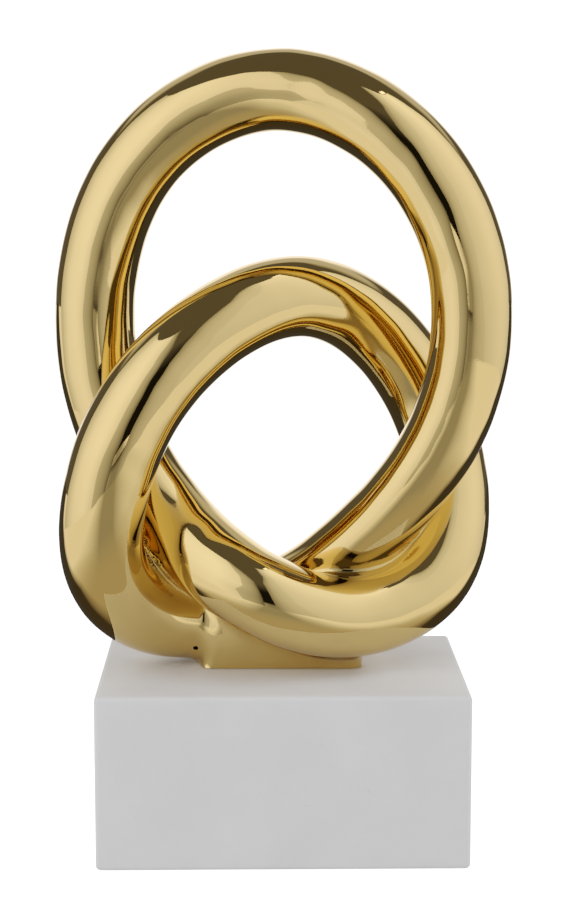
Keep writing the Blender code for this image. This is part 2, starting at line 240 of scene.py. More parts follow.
def foot_plan(rise, front_lean=FOOT_FRONT_LEAN):
    """The foot's middle and half sizes at a rise from 0, the deck, to 1, its top."""
    rise = np.clip(np.asarray(rise), 0.0, 1.0)
    front = FOOT_CENTER[1] - FOOT_HALF[1] - front_lean * rise
    back = FOOT_CENTER[1] + FOOT_HALF[1] - FOOT_BACK_LEAN * rise
    center = np.stack((FOOT_CENTER[0] + 0.0 * rise, (front + back) / 2.0), axis=-1)
    half = np.stack((FOOT_HALF[0] - FOOT_ENDS_LEAN * rise, (back - front) / 2.0), axis=-1)
    return center, half


def outward(made):
    """Turn every face outwards."""
    form = bmesh.new()
    form.from_mesh(made.data)
    bmesh.ops.recalc_face_normals(form, faces=form.faces)
    form.to_mesh(made.data)
    form.free()


def freeze(made):
    """Keep the shape that the modifiers give and drop the modifiers."""
    shown = made.evaluated_get(bpy.context.evaluated_depsgraph_get())
    mesh = bpy.data.meshes.new_from_object(shown)
    made.modifiers.clear()
    made.data = mesh


def melted(name, parts, voxel):
    """Join parts into one object and remesh them into one skin."""
    form = bmesh.new()
    for part in parts:
        outward(part)
        form.from_mesh(part.data)
        bpy.data.objects.remove(part, do_unlink=True)
    mesh = bpy.data.meshes.new(name)
    form.to_mesh(mesh)
    form.free()
    made = bpy.data.objects.new(name, mesh)
    bpy.context.collection.objects.link(made)
    remesh = made.modifiers.new("melt", "REMESH")
    remesh.mode = "VOXEL"
    remesh.voxel_size = voxel
    freeze(made)
    return made


foot_rings = []
for rise in (0.0, 1.0):
    center, half = foot_plan(rise)
    foot_rings.append(rounded_outline(half, FOOT_CORNER) + center)
foot = upright_body("foot", foot_rings[0], DECK - FOOT_BURIED, FOOT_TOP, foot_rings[1])
strand = swept_tube("strand", closed_spline(station_points(), SWEEP_COUNT), SWEEP_SIDES)
knot = melted("knot", [strand, foot], VOXEL)
print("rough skin: %d faces" % len(knot.data.polygons))

# %% [markdown]
# ## A true surface
# Voxels leave the skin a little bumpy, and a mirror would show it.  So every point is
# moved onto a surface that a formula gives.  The distance to the strand is the distance
# to its nearest centre point minus the radius there.  Where a second strand or the foot
# comes close, a smooth minimum blends the distances, as the metal runs together in a
# fillet.  Last comes what a hand on a polishing wheel leaves: waves a few microns deep,
# far too shallow to see as shape, but enough to make the reflected edges wander.

# %% Distance formula
STRAND_FILLET = 4.0 * MM
FOOT_FILLET_MIDDLE = 11.0 * MM
FOOT_FILLET_ENDS = 7.0 * MM
NEIGHBOUR = 70.0 * MM                   # nearer along the strand is the same strand
COARSE = 4                              # samples skipped in the first search
WAVE_COUNT = 28
WAVE_LENGTHS = (9.0 * MM, 32.0 * MM)
WAVE_SLOPE = 0.014                      # typical tilt of the surface


def sample_distance(points, samples):
    """Distance from every point to every sample's centre, less the radius there."""
    square = ((points ** 2).sum(axis=1)[:, None] + (samples[:, :3] ** 2).sum(axis=1)
              - 2.0 * points @ samples[:, :3].T)
    return np.sqrt(np.maximum(square, 0.0)) - samples[:, 3]


def refined(points, best):
    """Distance from the lowest sample and the two beside it.

    A parabola through the three distances says where between them the nearest centre
    is, and a second one through their places gives that centre.
    """
    trio = np.stack((line[best - 1], line[best], line[(best + 1) % len(line)]))
    low, mid, high = np.linalg.norm(points - trio[:, :, :3], axis=2) - trio[:, :, 3]
    bend = np.maximum(low - 2.0 * mid + high, 1e-12)
    t = np.clip(0.5 * (low - high) / bend, -1.0, 1.0)[:, None]
    core = (0.5 * t * (t - 1.0) * trio[0] + (1.0 - t * t) * trio[1]
            + 0.5 * t * (t + 1.0) * trio[2])
    return np.linalg.norm(points - core[:, :3], axis=1) - core[:, 3]


def two_nearest(points):
    """For each point the nearest sample, and the nearest on another stretch of strand.

    Every fourth sample finds the place, and its close neighbours settle it.
    """
    coarse = sample_distance(points, line[::COARSE])
    rows = np.arange(len(points))
    count = len(line)
    found = []
    for _ in range(2):
        place = coarse.argmin(axis=1)
        spread = (place[:, None] * COARSE + np.arange(-COARSE, COARSE + 1)) % count
        near = (np.linalg.norm(points[:, None, :] - line[spread, :3], axis=2)
                - line[spread, 3])
        found.append(spread[rows, near.argmin(axis=1)])
        apart = abs(np.arange(coarse.shape[1])[None, :] - place[:, None])
        apart = np.minimum(apart, coarse.shape[1] - apart) * COARSE
        coarse = np.where(apart * LINE_LENGTH / count > NEIGHBOUR, coarse, 1.0)
    return found


def foot_distance(points):
    """Distance to a box with round upright corners and leaning walls.

    Its front leans out, but towards the vent's end it turns and leans in instead, so
    that it runs flush into the strand there.
    """
    rise = (points[:, 2] - DECK) / (FOOT_TOP - DECK)
    turned = np.clip((points[:, 0] + FOOT_HALF[0]) / FOOT_TURN, 0.0, 1.0)
    center, half = foot_plan(rise, FOOT_FRONT_LEAN * (2.0 * turned - 1.0))
    reach = np.abs(points[:, :2] - center) - (half - FOOT_CORNER)
    outside = np.linalg.norm(np.maximum(reach, 0.0), axis=1)
    wall = outside + np.minimum(reach.max(axis=1), 0.0) - FOOT_CORNER
    return np.maximum(wall, points[:, 2] - FOOT_TOP)


def foot_fillet(points):
    """ends + (middle - ends) * (1 - (distance from the middle / half width) ^ 4)."""
    share = np.clip(1.0 - (points[:, 0] / FOOT_HALF[0]) ** 4, 0.0, 1.0)
    return FOOT_FILLET_ENDS + (FOOT_FILLET_MIDDLE - FOOT_FILLET_ENDS) * share


def smooth_minimum(a, b, fillet):
    """The lower distance, less up to a quarter of the fillet where the two are alike."""
    near = np.maximum(fillet - np.abs(a - b), 0.0) / fillet
    return np.minimum(a, b) - near ** 2 * fillet / 4.0


def make_waves():
    """Plane waves in random directions: height = sum of a * sin(k . place + phase)."""
    dice = np.random.default_rng(7)
    way = dice.normal(size=(WAVE_COUNT, 3))
    way /= np.linalg.norm(way, axis=1)[:, None]
    length = np.geomspace(*WAVE_LENGTHS, WAVE_COUNT)
    height = WAVE_SLOPE * math.sqrt(2.0 / WAVE_COUNT) * length / math.tau
    phase = dice.uniform(0.0, math.tau, WAVE_COUNT)
    return way * (math.tau / length)[:, None], phase, height


WAVES = make_waves()


def polish_waves(points):
    """Height of the polishing waves at each point."""
    wave, phase, height = WAVES
    return np.sin(points @ wave.T + phase) @ height


def blended(points, pair):
    """Distance to the whole casting, from the two strand samples found before."""
    strands = smooth_minimum(refined(points, pair[0]), refined(points, pair[1]),
                             STRAND_FILLET)
    whole = smooth_minimum(strands, foot_distance(points), foot_fillet(points))
    return whole + polish_waves(points)


def casting(points, chunk=4000, feel=0.03 * MM):
    """Distance to the casting, and the direction in which it grows.

    The direction comes from the distance felt at four places round the point, at the
    corners of a small tetrahedron: sum of corner * distance there, over 4 * feel.
    """
    corners = np.array(((1, -1, -1), (-1, -1, 1), (-1, 1, -1), (1, 1, 1)), float)
    distance = np.empty(len(points))
    facing = np.zeros((len(points), 3))
    for start in range(0, len(points), chunk):
        part = slice(start, start + chunk)
        pair = two_nearest(points[part])
        distance[part] = blended(points[part], pair)
        for corner in corners:
            felt = blended(points[part] + feel * corner, pair)
            facing[part] += corner * (felt / (4.0 * feel))[:, None]
    return distance, facing


# %% [markdown]
# ## Onto the surface
# Each point of the rough skin steps against the direction in which the distance grows,
# by that distance.  A few rounds are enough, and only the points that are still off the
# surface go on, which saves most of the work.

# %% Move the skin onto the surface
SETTLE_ROUNDS = 7
SETTLED = 0.002 * MM
LONGEST_STEP = 0.8 * MM
LEAST_STEEPNESS = 0.2                   # keeps a step finite in a crease


def mesh_points(mesh):
    """The mesh's points as an array."""
    points = np.empty(len(mesh.vertices) * 3)
    mesh.vertices.foreach_get("co", points)
    return points.reshape(-1, 3)


def settle(made):
    """Step each point along its direction by its distance, until it lies still."""
    points = mesh_points(made.data)
    moving = np.arange(len(points))
    for _ in range(SETTLE_ROUNDS):
        distance, facing = casting(points[moving])
        steep = np.maximum((facing ** 2).sum(axis=1), LEAST_STEEPNESS)
        step = np.clip(distance / steep, -LONGEST_STEP, LONGEST_STEP)
        points[moving] -= facing * step[:, None]
        moving = moving[np.abs(distance) > SETTLED]
    made.data.vertices.foreach_set("co", points.ravel())
    made.data.update()
    print("%d of %d points still moving" % (len(moving), len(points)))


settle(knot)

# %% [markdown]
# ## The foot's underside, its two pockets and the vent
# The skin still reaches into the block.  A cut just above the deck makes the flat
# bottom, and one face closes it.  Three small Booleans follow: a pocket round each
# threaded insert, and the vent beside the foot, a two millimetre hole without which a
# plating bath would stay trapped in the hollow.

# %% Cut the foot
GAP = 0.3 * MM                          # that pieces keep between them
VENT_RADIUS = 1.0 * MM
VENT_ACROSS = -33.4 * MM
VENT_ELEVATION = math.radians(-34.0)
VENT_DEPTH = 4.5 * MM
SIDES = ("left", "right")


def cut_flat(made, level):
    """Remove everything under a level and close the opening."""
    form = bmesh.new()
    form.from_mesh(made.data)
    everything = list(form.verts) + list(form.edges) + list(form.faces)
    cut = bmesh.ops.bisect_plane(form, geom=everything, plane_co=(0.0, 0.0, level),
                                 plane_no=(0.0, 0.0, 1.0), clear_inner=True,
                                 dist=0.001 * MM)
    edges = [e for e in cut["geom_cut"] if isinstance(e, bmesh.types.BMEdge)]
    bmesh.ops.holes_fill(form, edges=edges)
    form.to_mesh(made.data)
    form.free()


def rod(name, start, end, radius, sides=32):
    """A cylinder between two points: start or end + radius * (cos a * u + sin a * v)."""
    start, end = np.array(start), np.array(end)
    along = (end - start) / np.linalg.norm(end - start)
    u = np.cross(along, (1.0, 0.0, 0.0))
    u /= np.linalg.norm(u)
    v = np.cross(along, u)
    angle = np.arange(sides)[:, None] / sides * math.tau
    ring = radius * (np.cos(angle) * u + np.sin(angle) * v)
    faces = ring_faces(2, sides, closed=False)
    faces += [list(range(sides)), list(range(sides, 2 * sides))]
    made = mesh_object(name, np.concatenate((start + ring, end + ring)), faces)
    outward(made)
    return made


def cut_away(made, tools):
    """Subtract each tool from an object and remove the tool."""
    for tool in tools:
        change = made.modifiers.new(tool.name, "BOOLEAN")
        change.operation = "DIFFERENCE"
        change.solver = "EXACT"
        change.object = tool
    freeze(made)
    for tool in tools:
        bpy.data.objects.remove(tool, do_unlink=True)


def node_rod(name, node, spread, rise=0.0):
    """A cylinder round an upright turned node, wider and higher by small gaps."""
    low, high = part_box(node)
    x, y = (low.x + high.x) / 2.0, (low.y + high.y) / 2.0
    radius = (high.x - low.x) / 2.0 + spread
    return rod(name, (x, y, low.z - 4.0 * MM), (x, y, high.z + rise), radius)


def vent_rod():
    """The vent's drill: it points at the centre of the low strand at the back."""
    low_strand = line[(line[:, 1] > 0.0) & (line[:, 2] < BASE_LEVEL + STRAND_PITCH)]
    middle = low_strand[np.argmin(abs(low_strand[:, 0] - VENT_ACROSS))]
    away = np.array((0.0, -math.cos(VENT_ELEVATION), math.sin(VENT_ELEVATION)))
    inside = middle[:3] + away * (middle[3] - VENT_DEPTH)
    return rod("vent", inside, middle[:3] + away * (middle[3] + 2.0 * MM), VENT_RADIUS)


def face_the_formula(made, deep=0.05 * MM):
    """Shade with the formula's own directions, but leave cut faces their own."""
    mesh = made.data
    mesh.shade_smooth()
    facing = casting(mesh_points(mesh))[1]
    facing /= np.linalg.norm(facing, axis=1)[:, None]
    corners = np.empty(len(mesh.loops), dtype=np.int32)
    mesh.loops.foreach_get("vertex_index", corners)
    normals = facing[corners]
    centers = np.array([p.center for p in mesh.polygons])
    flat = np.array([p.normal for p in mesh.polygons])
    cut = (casting(centers)[0] < -deep) | (flat[:, 2] < -0.9999)
    for index in np.nonzero(cut)[0]:
        polygon = mesh.polygons[index]
        normals[list(polygon.loop_indices)] = flat[index]
    mesh.normals_split_custom_set(normals.tolist())


cut_flat(knot, KNOT_LOW.z)
cut_away(knot, [node_rod("pocket_" + side, "threaded_insert_" + side, GAP, GAP)
                for side in SIDES] + [vent_rod()])
face_the_formula(knot)
print("finished skin: %d faces" % len(knot.data.polygons))
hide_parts("knot_casting")
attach(knot, "root")

# %% [markdown]
# ## The block
# The block is a cast stone, matte and a little soft along every edge.  It is worked out
# as the surface of a box pulled onto a rounded one: a point goes to the nearest place of
# an inner box and from there out by the edge radius.  Grid lines crowd where the edges
# turn and around each pinhole, so that these have faces enough and the flats few.

# %% Block
EDGE_RADIUS = 1.8 * MM
LINE_SPACING = 5.0 * MM
PIN_LINES = 4                           # grid lines on each side of a pinhole
RECESS_SPREAD = 0.5 * MM                # the felt's recess is wider than the felt
RECESS_CORNER = 4.5 * MM
RECESS_DEPTH = 1.2 * MM
COUNTERBORE_SPREAD = 1.0 * MM           # wider than the washer in it
HOLE_RADIUS = 3.4 * MM                  # for an M6 screw
THROUGH = 1.0 * MM                      # a cutter runs this far past a face
PINS = (                                # side, two places along it (mm), radius, depth
    ("front", 13.5, 48.0, 0.42, 0.35), ("front", 31.0, 30.5, 0.50, 0.40),
    ("front", -31.5, 52.5, 0.36, 0.30), ("front", 8.0, 25.0, 0.34, 0.30),
    ("front", 61.0, 37.5, 0.36, 0.30), ("front", -54.0, 21.0, 0.32, 0.25),
    ("top", 57.0, -31.0, 0.34, 0.30), ("top", -51.0, 17.0, 0.40, 0.35),
    ("back", -22.0, 41.0, 0.44, 0.40), ("back", 40.5, 19.0, 0.36, 0.30),
    ("left", 12.0, 44.0, 0.38, 0.30), ("right", -17.5, 33.0, 0.44, 0.35))
FACES = {                               # across axis, up axis, facing axis, its sign
    "front": (0, 2, 1, -1.0), "back": (0, 2, 1, 1.0), "left": (1, 2, 0, -1.0),
    "right": (1, 2, 0, 1.0), "top": (0, 1, 2, 1.0), "bottom": (0, 1, 2, -1.0)}


def grid_lines(axis):
    """Even lines, extra ones through the rounded edges and around each pinhole."""
    low, high = BLOCK_LOW[axis], BLOCK_HIGH[axis]
    even = np.linspace(low + EDGE_RADIUS, high - EDGE_RADIUS,
                       round((high - low) / LINE_SPACING))
    turn = EDGE_RADIUS * (1.0 - np.tan(np.linspace(0.0, math.pi / 4.0, 7)))
    lines = [even, low + turn, high - turn]
    for side, across, up, radius, _depth in PINS:
        for place, along in ((across, FACES[side][0]), (up, FACES[side][1])):
            if along == axis:
                spread = np.linspace(-1.3, 1.3, 2 * PIN_LINES + 1) * radius
                lines.append((place + spread) * MM)
    return np.unique(np.round(np.concatenate(lines), 7))


def rounded(points):
    """Nearest place of the inner box, then outwards by the edge radius."""
    inner = np.clip(points, np.array(BLOCK_LOW) + EDGE_RADIUS,
                    np.array(BLOCK_HIGH) - EDGE_RADIUS)
    away = points - inner
    return inner + EDGE_RADIUS * away / np.linalg.norm(away, axis=-1, keepdims=True)


def pin_depth(points, side, across, up, radius, depth):
    """Full depth in the middle, fading to none at the rim as a smooth step."""
    a, b, _facing, _sign = FACES[side]
    far = np.hypot(points[:, a] - across * MM, points[:, b] - up * MM) / (radius * MM)
    fade = np.clip((1.15 - far) / 0.7, 0.0, 1.0)
    return depth * MM * fade * fade * (3.0 - 2.0 * fade)


def block_face(side):
    """One side of the box: a grid of points and its four-sided faces."""
    a, b, facing, sign = FACES[side]
    across, up = np.meshgrid(grid_lines(a), grid_lines(b), indexing="ij")
    points = np.zeros((across.size, 3))
    points[:, a], points[:, b] = across.ravel(), up.ravel()
    points[:, facing] = (BLOCK_HIGH if sign > 0.0 else BLOCK_LOW)[facing]
    points = rounded(points)
    for pin in PINS:
        if pin[0] == side:
            points[:, facing] -= sign * pin_depth(points, *pin)
    rows, columns = across.shape
    i, j = np.meshgrid(np.arange(rows - 1), np.arange(columns - 1), indexing="ij")
    first = (i * columns + j).ravel()
    return points, np.stack((first, first + 1, first + columns + 1, first + columns), axis=1)


def make_block():
    """Six sides welded along their shared edges."""
    points, faces, count = [], [], 0
    for side in FACES:
        some, quads = block_face(side)
        points.append(some)
        faces.append(quads + count)
        count += len(some)
    made = mesh_object("block", np.concatenate(points), np.concatenate(faces).tolist())
    form = bmesh.new()
    form.from_mesh(made.data)
    bmesh.ops.remove_doubles(form, verts=form.verts, dist=0.002 * MM)
    bmesh.ops.recalc_face_normals(form, faces=form.faces)
    form.to_mesh(made.data)
    form.free()
    return made


def bores():
    """The felt's recess, and under each fixing a counterbore and a screw hole."""
    low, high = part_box("felt_sheet")
    half = ((high.x - low.x) / 2.0 + RECESS_SPREAD, (high.y - low.y) / 2.0 + RECESS_SPREAD)
    recess = upright_body("recess", rounded_outline(half, RECESS_CORNER, 64),
                          BLOCK_LOW.z - THROUGH, BLOCK_LOW.z + RECESS_DEPTH)
    outward(recess)
    tools = [recess]
    for side in SIDES:
        low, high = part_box("plain_washer_" + side)
        x, y = (low.x + high.x) / 2.0, (low.y + high.y) / 2.0
        top = high.z + GAP
        tools.append(rod("counterbore_" + side, (x, y, BLOCK_LOW.z), (x, y, top),
                         (high.x - low.x) / 2.0 + COUNTERBORE_SPREAD))
        tools.append(rod("hole_" + side, (x, y, top - THROUGH), (x, y, DECK + THROUGH),
                         HOLE_RADIUS))
    return tools


block = make_block()
cut_away(block, bores())
block.data.shade_smooth()
block.data.set_sharp_from_angle(angle=math.radians(40.0))
print("block: %d faces" % len(block.data.polygons))
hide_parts("stone_block")
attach(block, "root")

# %% [markdown]
# ## Felt
# The sheet under the block is pressed wool, cut with a knife: flat, with a slightly
# fuzzy, uneven surface and an edge that is squeezed round.  Two layers of one grid of
# points, each uneven by a few hundredths of a millimetre, are joined round the rim.

# %% Felt
FELT_LOW, FELT_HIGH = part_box("felt_sheet")
FELT_SIZE = (FELT_HIGH.x - FELT_LOW.x, FELT_HIGH.y - FELT_LOW.y)
FELT_CORNER = 4.0 * MM
FELT_LINES = (129, 89)                  # of its grid, across and back
FELT_FUZZ = 0.02 * MM
FELT_SQUEEZE = 0.25 * MM                # at the rim, on both sides


def squircle(u, v):
    """Move a square grid so that its corners turn round with the felt's radius."""
    half = np.array(FELT_SIZE) / 2.0
    x, y = u * half[0], v * half[1]
    inner = half - FELT_CORNER
    flat = np.stack((np.abs(x), np.abs(y)), axis=1)
    past = flat - inner
    corner = np.maximum(past, 0.0)
    reach = np.maximum(np.linalg.norm(corner, axis=1), 1e-12)
    square = np.maximum(corner.max(axis=1), 1e-12)
    both = (past > 0.0).all(axis=1)[:, None]
    flat = np.where(both, inner + corner * (square / reach)[:, None], flat)
    return flat * np.sign(np.stack((x, y), axis=1))


def make_felt():
    """Two layers of one grid, as far apart as the felt is thick, joined at the rim."""
    u, v = np.meshgrid(*(np.linspace(-1, 1, count) for count in FELT_LINES), indexing="ij")
    rows, columns = u.shape
    flat = squircle(u.ravel(), v.ravel())
    dice = np.random.default_rng(3)
    rough = dice.normal(size=(2, len(flat))) * FELT_FUZZ
    edge = np.maximum(np.abs(u), np.abs(v)).ravel() > 0.9999
    squeeze = np.where(edge, FELT_SQUEEZE, 0.0)
    low = np.column_stack((flat, FELT_LOW.z + np.abs(rough[0]) + squeeze))
    high = np.column_stack((flat, FELT_HIGH.z - np.abs(rough[1]) - squeeze))
    i, j = np.meshgrid(np.arange(rows - 1), np.arange(columns - 1), indexing="ij")
    first = (i * columns + j).ravel()
    top = np.stack((first, first + columns, first + columns + 1, first + 1), axis=1)
    under = top[:, ::-1] + len(flat)
    index = np.arange(rows * columns).reshape(rows, columns)
    rim = np.concatenate((index[:-1, 0], index[-1, :-1], index[:0:-1, -1], index[0, :0:-1]))
    after = np.roll(rim, -1)
    wall = np.stack((rim, rim + len(flat), after + len(flat), after), axis=1)
    faces = np.concatenate((top, under, wall)).tolist()
    made = mesh_object("felt", np.concatenate((high, low)), faces)
    outward(made)
    made.data.shade_smooth()
    return made


felt = make_felt()
print("felt: %d faces" % len(felt.data.polygons))
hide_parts("felt_sheet")
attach(felt, "root")

# %% [markdown]
# ## Shader groups
# Every finish here has some fine grain and some slow change of tone.  Both are built
# once, as node groups with named inputs, and each material places them with its own
# values.  They read Object coordinates, so a pattern stays where it is on the piece.

# %% Shader groups


def new_group(name, inputs, outputs):
    """A shader node group with named sockets; inputs carry their first values."""
    group = bpy.data.node_groups.new(name, "ShaderNodeTree")
    for label, kind, value in inputs:
        socket = group.interface.new_socket(label, in_out="INPUT", socket_type=kind)
        socket.default_value = value
    for label, kind in outputs:
        group.interface.new_socket(label, in_out="OUTPUT", socket_type=kind)
    return group, group.nodes.new("NodeGroupInput"), group.nodes.new("NodeGroupOutput")


def noise(tree, scale, detail=4.0, roughness=0.5):
    """A noise texture that reads Object coordinates."""
    place = tree.nodes.new("ShaderNodeTexCoord")
    made = tree.nodes.new("ShaderNodeTexNoise")
    made.inputs["Scale"].default_value = scale
    made.inputs["Detail"].default_value = detail
    made.inputs["Roughness"].default_value = roughness
    tree.links.new(place.outputs["Object"], made.inputs["Vector"])
    return made


def span(tree, source, low, high, start=0.0, end=1.0):
    """Map a value from low..high to start..end; start and end may be sockets."""
    made = tree.nodes.new("ShaderNodeMapRange")
    made.inputs["From Min"].default_value = low
    made.inputs["From Max"].default_value = high
    tree.links.new(source, made.inputs["Value"])
    for name, value in (("To Min", start), ("To Max", end)):
        if isinstance(value, float):
            made.inputs[name].default_value = value
        else:
            tree.links.new(value, made.inputs[name])
    return made.outputs["Result"]


def grain_group():
    """Fine grain: a roughness between two values, and a height for a Bump node."""
    group, inside, out = new_group(
        "fine_grain",
        [("Scale", "NodeSocketFloat", 800.0), ("Smooth", "NodeSocketFloat", 0.3),
         ("Rough", "NodeSocketFloat", 0.5)],
        [("Roughness", "NodeSocketFloat"), ("Height", "NodeSocketFloat")])
    fine = noise(group, 800.0, 5.0, 0.6)
    group.links.new(inside.outputs["Scale"], fine.inputs["Scale"])
    slow = noise(group, 45.0, 3.0)
    mixed = group.nodes.new("ShaderNodeMath")
    mixed.operation = "MULTIPLY"
    group.links.new(fine.outputs["Fac"], mixed.inputs[0])
    group.links.new(slow.outputs["Fac"], mixed.inputs[1])
    rough = span(group, mixed.outputs[0], 0.15, 0.38, inside.outputs["Smooth"],
                 inside.outputs["Rough"])
    group.links.new(rough, out.inputs["Roughness"])
    group.links.new(fine.outputs["Fac"], out.inputs["Height"])
    return group


def tone_group():
    """Slow change between two tones; a Mix node's colours are inputs 6 and 7."""
    group, inside, out = new_group(
        "tone", [("Scale", "NodeSocketFloat", 20.0),
                 ("First", "NodeSocketColor", (0.5, 0.5, 0.5, 1.0)),
                 ("Second", "NodeSocketColor", (0.6, 0.6, 0.6, 1.0))],
        [("Color", "NodeSocketColor")])
    slow = noise(group, 20.0, 4.0, 0.55)
    group.links.new(inside.outputs["Scale"], slow.inputs["Scale"])
    mix = group.nodes.new("ShaderNodeMix")
    mix.data_type = "RGBA"
    group.links.new(span(group, slow.outputs["Fac"], 0.35, 0.65), mix.inputs["Factor"])
    group.links.new(inside.outputs["First"], mix.inputs[6])
    group.links.new(inside.outputs["Second"], mix.inputs[7])
    group.links.new(mix.outputs[2], out.inputs["Color"])
    return group


GRAIN = grain_group()
TONE = tone_group()

# %% [markdown]
# ## Finishes
# The gold is a metal: its base colour tints what it mirrors, and where the metal mirrors
# itself the tint multiplies, which is where the deep orange comes from.  Its roughness
# is near nothing, with a faint haze where the polish is less fresh.  The stone, the zinc
# and the brass share the same groups with other values.

# %% Finishes


def finish(name, first, second, tone_scale, grain_scale, smooth, rough, metallic, depth):
    """A Principled material with slow tone, grained roughness and a grain bump."""
    made = bpy.data.materials.new(name)
    made.use_nodes = True
    tree = made.node_tree
    shader = tree.nodes["Principled BSDF"]
    shader.inputs["Metallic"].default_value = metallic
    tone = tree.nodes.new("ShaderNodeGroup")
    tone.node_tree = TONE
    tone.inputs["Scale"].default_value = tone_scale
    tone.inputs["First"].default_value = (*first, 1.0)
    tone.inputs["Second"].default_value = (*second, 1.0)
    tree.links.new(tone.outputs["Color"], shader.inputs["Base Color"])
    grain = tree.nodes.new("ShaderNodeGroup")
    grain.node_tree = GRAIN
    grain.inputs["Scale"].default_value = grain_scale
    grain.inputs["Smooth"].default_value = smooth
    grain.inputs["Rough"].default_value = rough
    tree.links.new(grain.outputs["Roughness"], shader.inputs["Roughness"])
    bump = tree.nodes.new("ShaderNodeBump")
    bump.inputs["Distance"].default_value = depth
    tree.links.new(grain.outputs["Height"], bump.inputs["Height"])
    tree.links.new(bump.outputs["Normal"], shader.inputs["Normal"])
    return made


def dress(names, made):
    """Give a carried-over node, or a new piece, its finish."""
    for name in names:
        mesh = bpy.data.objects[name].data
        mesh.materials.clear()
        mesh.materials.append(made)


gold = finish("polished_gold", (0.68, 0.472, 0.168), (0.66, 0.452, 0.158), 12.0, 1100.0,
              0.012, 0.045, 1.0, 0.004 * MM)
stone = finish("cast_stone", (0.84, 0.84, 0.85), (0.80, 0.80, 0.815), 35.0, 1500.0,
               0.55, 0.85, 0.0, 0.12 * MM)
zinc = finish("zinc", (0.62, 0.63, 0.64), (0.52, 0.53, 0.55), 240.0, 2600.0,
              0.22, 0.42, 1.0, 0.03 * MM)
brass = finish("turned_brass", (0.72, 0.55, 0.25), (0.63, 0.47, 0.20), 200.0, 2600.0,
               0.20, 0.38, 1.0, 0.03 * MM)
wool = finish("wool_felt", (0.10, 0.10, 0.11), (0.07, 0.07, 0.078), 300.0, 1900.0,
              0.85, 1.0, 0.0, 0.5 * MM)
wool.node_tree.nodes["Principled BSDF"].inputs["Sheen Weight"].default_value = 0.4

dress(["knot"], gold)
dress(["block"], stone)
dress(["felt"], wool)
for side in SIDES:
    dress(["threaded_insert_" + side], brass)
    dress(["socket_screw_" + side, "plain_washer_" + side, "lock_washer_" + side], zinc)

# %% [markdown]
# ## The studio
# A mirror is lit by wrapping it: white walls of a light tent stand round the award, and
# the camera looks in through a slit.  The slit is the black band that runs along every
# strand, the walls are the wide cream ones, and where a wall dims towards the slit the
# cream turns taupe.  A low sill closes the slit's foot, and a lamp stands high on the
# right.  Behind the award hangs a white sheet with a grey one over it, and a dark gap on
# each side of them draws the thin dark line along the outline.  Underneath lies a table
# that only reflections see.  The camera sees none of this, only white.

# %% Studio
TENT_RADIUS = 0.60
TENT_CENTER = (-0.010, 0.0)
LIGHT = 1.38                            # every strength below is multiplied by this
DIM_ROOM, FRONT_ROOM = 0.075 * LIGHT, 0.006 * LIGHT
GREY_SHEET, WHITE_SHEET = 0.5 * LIGHT, 1.6 * LIGHT
PRINT_WHITE = 2.0                       # the scene value that prints as white
ROOM_COLOR = (1.0, 0.97, 0.92, 1.0)

# The sheets fade in between two values of a direction's parts, which are each 1 at most.
SHEET_SLANT = 1.25                      # how much a step aside counts against one back
WHITE_RIM, WHITE_TOP = (0.15, 0.50), (0.60, 0.50)
GREY_RIM, GREY_FOOT, GREY_TOP = (0.36, 0.52), (0.48, 0.56), (0.84, 0.80)
FRONT_RIM = (-0.93, -0.80)

# The table, in metres from the middle; its tint keeps less green and blue near the
# object, a painted warm light as if bounced off the gold.
FLOOR_REACH = 3.0
TABLE_HALF, TABLE_SLANT = 0.18, 0.7     # its back edge is straight, then falls back
TABLE_EDGE = (0.0, -0.05)
TABLE_NEAR, TABLE_ASIDE = (0.14, 0.26), (0.08, 0.26)
TABLE_UNDER, TABLE_AHEAD, TABLE_SIDES = 0.38 * LIGHT, 0.25 * LIGHT, 1.15 * LIGHT
TABLE_BEHIND = 0.035 * LIGHT
SHEET_FOOT = (0.35, 0.60)
WARM_BOUNCE_GREEN, WARM_BOUNCE_BLUE = (0.86, 0.97), (0.66, 0.92)

TOP_LIGHT_SIZE = 1.8
TOP_LIGHT_PLACE = (0.0, -0.2, 1.9)
TOP_LIGHT_RADIANCE = 0.55

# Each row: height, then the azimuths of the wall's near edge, of its joint and of its
# far edge, and how bright that row is.  The azimuth is 0 towards the camera.
LEFT_ROWS = ((-0.02, -7.0, -33.0, -109.0, 0.80), (0.15, -7.0, -35.0, -109.0, 0.88),
             (0.30, -7.0, -25.0, -109.0, 0.97), (0.55, -8.0, -23.0, -109.0, 1.00),
             (0.80, -18.0, -27.0, -104.0, 0.95), (0.96, -26.0, -32.0, -98.0, 0.90))
LEFT_NEAR = (0.10, 0.34, 0.48, 0.58, 0.68)
LEFT_FAR = (1.20, 1.42, 1.60, 1.60, 1.53, 1.46, 1.25, 0.95, 0.70)
RIGHT_ROWS = ((-0.02, 6.0, 42.0, 114.0, 0.78), (0.10, 6.0, 36.0, 115.0, 0.82),
              (0.25, 6.0, 31.0, 116.0, 0.90), (0.60, 5.0, 31.0, 112.0, 1.00),
              (0.95, 14.0, 34.0, 106.0, 1.10), (1.30, 15.0, 34.0, 94.0, 1.18),
              (1.70, 18.0, 36.0, 84.0, 1.20))
RIGHT_NEAR = (0.25, 0.60, 0.78, 0.88)
RIGHT_FAR = (0.98, 1.10, 1.20, 1.30, 1.38, 1.36, 1.22, 0.95)
LAMP_ROWS = ((1.74, 52.0, 64.0, 76.0, 1.0), (1.90, 54.0, 64.0, 78.0, 1.0))
LAMP = (2.6, 2.6)
SILL_ROWS = ((-0.02, -7.0, -1.0, 6.0, 1.0), (0.05, -7.0, -1.0, 6.0, 1.0),
             (0.085, -7.0, -1.0, 6.0, 0.1))
SILL_NEAR = (0.32, 0.20)
SILL_FAR = (0.20, 0.22)


